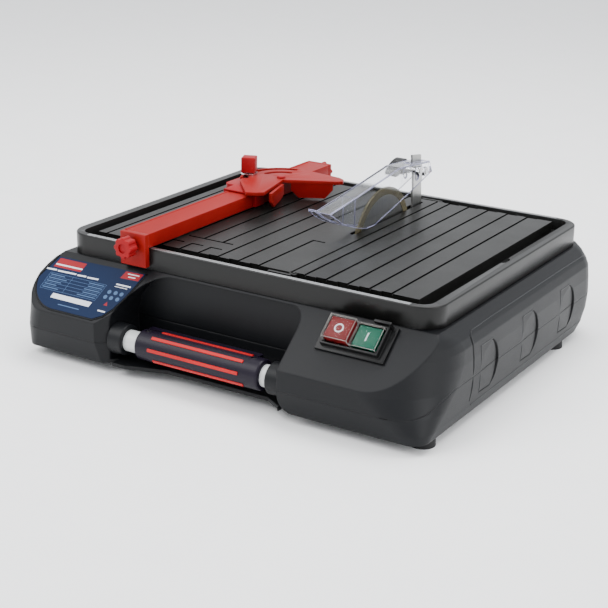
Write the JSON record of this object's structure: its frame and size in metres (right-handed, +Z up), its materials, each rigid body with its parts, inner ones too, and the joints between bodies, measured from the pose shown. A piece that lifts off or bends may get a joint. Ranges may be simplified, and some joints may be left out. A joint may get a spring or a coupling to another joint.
{
  "type": "portable wet tile saw",
  "caption": "Low tabletop wet saw with a ribbed table, flip-up bevel panel, clear blade guard, sliding fence, mitre gauge and a front carrying handle",
  "frame": {"origin": "centre of the footprint on the floor", "axes": "+X to the operator's right, +Y away from the operator, +Z up"},
  "size_m": [0.426, 0.38, 0.1635],
  "materials": {
    "housing_plastic": "fine textured injection moulding, satin",
    "frame_metal": "satin powder coat",
    "table_metal": "satin coating, lightly scuffed",
    "rail_aluminium": "brushed",
    "handle_paint": "light grey paint",
    "grip_rubber": "soft grip, satin",
    "red_rubber": "soft inlay",
    "foot_rubber": "matt",
    "black_plastic": "satin",
    "clear_plastic": "clear moulded plastic with faint blue edges",
    "red_paint": "gloss paint",
    "red_plastic": "moulded",
    "stop_red": "moulded",
    "start_green": "moulded",
    "label_film": "printed film",
    "cast_bracket": "cast",
    "bare_steel": "ground",
    "zinc_steel": "bright zinc",
    "yellow_brass": "turned",
    "blade_bond": "gritty bonded rim"
  },
  "bodies": {
    "base": {"lower_housing": "housing_plastic", "upper_housing": "housing_plastic", "rubber_feet": "foot_rubber", "case_screws": "zinc_steel", "cord_gland": "foot_rubber", "table_frame": "frame_metal", "end_rails": "rail_aluminium", "table_plate": "table_metal", "hinge_pins": "zinc_steel", "handle_tube": "handle_paint", "handle_collars": "housing_plastic", "grip_upper": "grip_rubber", "grip_lower": "grip_rubber", "grip_strips": "red_rubber", "grip_screws": "zinc_steel", "drive_bracket": "cast_bracket", "bracket_screws": "zinc_steel", "ball_bearings": "bare_steel", "drive_belt": "foot_rubber", "motor_case": "cast_bracket", "motor_end_cap": "cast_bracket", "motor_stator": "bare_steel", "run_capacitor": "black_plastic", "water_tray": "black_plastic", "drain_plug": "foot_rubber", "riving_knife": "bare_steel", "guard_bolts": "zinc_steel", "guard_nuts": "yellow_brass", "switch_bezel": "black_plastic", "switch_body": "black_plastic", "rating_label": "label_film"},
    "bevel_panel": {"bevel_panel": "table_metal"},
    "motor_armature": {"motor_shaft": "bare_steel", "motor_rotor": "bare_steel", "motor_pulley": "rail_aluminium", "cooling_fan": "black_plastic"},
    "blade_spindle": {"spindle": "bare_steel", "spindle_pulley": "rail_aluminium", "blade_core": "bare_steel", "blade_rim": "blade_bond", "blade_flanges": "zinc_steel", "blade_nut": "zinc_steel"},
    "guard": {"guard_shell": "clear_plastic"},
    "guard_knob": {"guard_lock_knob": "black_plastic"},
    "fence": {"fence_beam": "red_paint", "fence_clamps": "red_paint"},
    "front_clamp": {"fence_front_screw": "zinc_steel", "fence_front_knob": "red_plastic"},
    "rear_clamp": {"fence_rear_screw": "zinc_steel", "fence_rear_knob": "red_plastic"},
    "mitre_carriage": {"mitre_slide": "red_plastic", "mitre_rivet": "red_plastic", "mitre_bolt": "zinc_steel"},
    "protractor": {"mitre_protractor": "red_paint"},
    "mitre_clamp": {"mitre_lock_knob": "red_plastic"},
    "off_key": {"off_button": "stop_red", "off_button_cover": "clear_plastic"},
    "on_key": {"on_button": "start_green", "on_button_cover": "clear_plastic"}
  },
  "joints": [
    {"name": "bevel_tilt", "type": "hinge", "parent": "base", "child": "bevel_panel", "pos_m": [0.0443, 0.014, 0.1076], "axis": [0, -1, 0], "range_deg": [0, 45]},
    {"name": "motor_spin", "type": "hinge", "parent": "base", "child": "motor_armature", "pos_m": [-0.1, 0.126, 0.05], "axis": [1, 0, 0], "continuous": true},
    {"name": "blade_spin", "type": "hinge", "parent": "base", "child": "blade_spindle", "pos_m": [0.0303, 0.0645, 0.0874], "axis": [1, 0, 0], "continuous": true},
    {"name": "guard_lift", "type": "hinge", "parent": "base", "child": "guard", "pos_m": [0.0303, 0.133, 0.146], "axis": [-1, 0, 0], "range_deg": [0, 25]},
    {"name": "guard_knob_turn", "type": "hinge", "parent": "base", "child": "guard_knob", "pos_m": [0.0152, 0.121, 0.149], "axis": [1, 0, 0], "range_deg": [-90, 90]},
    {"name": "fence_slide", "type": "slide", "parent": "base", "child": "fence", "axis": [1, 0, 0], "range_m": [-0.04, 0.05]},
    {"name": "front_clamp_turn", "type": "hinge", "parent": "fence", "child": "front_clamp", "pos_m": [-0.11075, -0.155, 0.113], "axis": [0, 1, 0], "range_deg": [-180, 180]},
    {"name": "rear_clamp_turn", "type": "hinge", "parent": "fence", "child": "rear_clamp", "pos_m": [-0.11075, 0.183, 0.113], "axis": [0, 1, 0], "range_deg": [-180, 180]},
    {"name": "mitre_travel", "type": "slide", "parent": "fence", "child": "mitre_carriage", "axis": [0, 1, 0], "range_m": [-0.14, 0.06]},
    {"name": "mitre_swivel", "type": "hinge", "parent": "mitre_carriage", "child": "protractor", "pos_m": [-0.0975, 0.0805, 0.128], "axis": [0, 0, 1], "range_deg": [-12, 45]},
    {"name": "mitre_clamp_turn", "type": "hinge", "parent": "mitre_carriage", "child": "mitre_clamp", "pos_m": [-0.1336, 0.0754, 0.14], "axis": [0, 0, 1], "range_deg": [-180, 180]},
    {"name": "off_press", "type": "slide", "parent": "base", "child": "off_key", "axis": [0, 0.6476, -0.7619], "range_m": [0, 0.003], "stiffness_N_per_m": 500},
    {"name": "on_press", "type": "slide", "parent": "base", "child": "on_key", "axis": [0, 0.6476, -0.7619], "range_m": [0, 0.003], "stiffness_N_per_m": 500}
  ],
  "couplings": [
    {"joint": "blade_spin", "follows": "motor_spin", "ratio": 1.3053}
  ]
}
